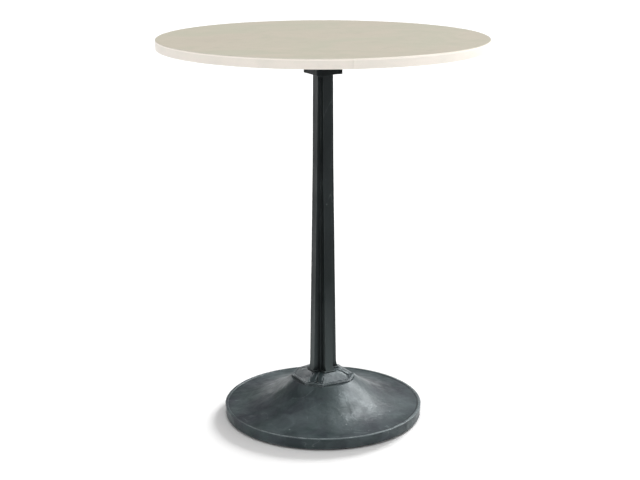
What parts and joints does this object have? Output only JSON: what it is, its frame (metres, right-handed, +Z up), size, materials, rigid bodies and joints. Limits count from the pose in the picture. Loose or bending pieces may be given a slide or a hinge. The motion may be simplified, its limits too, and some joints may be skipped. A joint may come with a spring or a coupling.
{
  "type": "pub table",
  "caption": "Tall round pub table: pale stone-look top on a slim cruciform cast column, moulded octagonal collar and bell-shaped round base with levelling glides.",
  "frame": {"origin": "on the floor, under the centre of the table", "axes": "+Z up, +X and +Y square to the faces of the column, capital and collar"},
  "size_m": [0.888, 0.888, 1.067],
  "materials": {
    "top_face": "satin stone-look laminate",
    "edge_band": "satin laminate strip",
    "core": "raw particle board",
    "backer": "dull brown backing sheet",
    "spider": "rubbed dark iron",
    "screws": "zinc plated",
    "capital": "rubbed dark iron",
    "column": "rubbed dark iron",
    "collar": "rubbed dark iron",
    "base": "rubbed dark iron, brighter on the bell",
    "rod": "plain steel",
    "nuts": "zinc plated",
    "rod_washers": "zinc plated",
    "plate_washer": "plain steel",
    "glide_pad": "dull black nylon",
    "glide_stem": "zinc plated"
  },
  "bodies": {
    "table": {"top_face": "top_face", "edge_band": "edge_band", "top_core": "core", "underside_backer": "backer", "top_spider": "spider", "mounting_screws": "screws", "capital": "capital", "column": "column", "collar": "collar", "base_casting": "base", "tie_rod": "rod", "tie_rod_nuts": "nuts", "tie_rod_washers": "rod_washers", "plate_washer": "plate_washer"},
    "foot_1": {"glide_pad_1": "glide_pad"},
    "stem_1": {"glide_stem_1": "glide_stem"},
    "foot_2": {"glide_pad_2": "glide_pad"},
    "stem_2": {"glide_stem_2": "glide_stem"},
    "foot_3": {"glide_pad_3": "glide_pad"},
    "stem_3": {"glide_stem_3": "glide_stem"},
    "foot_4": {"glide_pad_4": "glide_pad"},
    "stem_4": {"glide_stem_4": "glide_stem"}
  },
  "joints": [
    {"name": "foot_1_travel", "type": "slide", "parent": "table", "child": "foot_1", "axis": [0, 0, -1], "range_m": [0, 0.008]},
    {"name": "stem_1_turn", "type": "hinge", "parent": "foot_1", "child": "stem_1", "pos_m": [-0.22552, -0.09573, 0.004], "axis": [0, 0, -1], "range_deg": [0, 2300]},
    {"name": "foot_2_travel", "type": "slide", "parent": "table", "child": "foot_2", "axis": [0, 0, -1], "range_m": [0, 0.008]},
    {"name": "stem_2_turn", "type": "hinge", "parent": "foot_2", "child": "stem_2", "pos_m": [0.09573, -0.22552, 0.004], "axis": [0, 0, -1], "range_deg": [0, 2300]},
    {"name": "foot_3_travel", "type": "slide", "parent": "table", "child": "foot_3", "axis": [0, 0, -1], "range_m": [0, 0.008]},
    {"name": "stem_3_turn", "type": "hinge", "parent": "foot_3", "child": "stem_3", "pos_m": [0.22552, 0.09573, 0.004], "axis": [0, 0, -1], "range_deg": [0, 2300]},
    {"name": "foot_4_travel", "type": "slide", "parent": "table", "child": "foot_4", "axis": [0, 0, -1], "range_m": [0, 0.008]},
    {"name": "stem_4_turn", "type": "hinge", "parent": "foot_4", "child": "stem_4", "pos_m": [-0.09573, 0.22552, 0.004], "axis": [0, 0, -1], "range_deg": [0, 2300]}
  ],
  "couplings": [
    {"joint": "foot_1_travel", "follows": "stem_1_turn", "m_per_rad": 0.00019894},
    {"joint": "foot_2_travel", "follows": "stem_2_turn", "m_per_rad": 0.00019894},
    {"joint": "foot_3_travel", "follows": "stem_3_turn", "m_per_rad": 0.00019894},
    {"joint": "foot_4_travel", "follows": "stem_4_turn", "m_per_rad": 0.00019894}
  ]
}
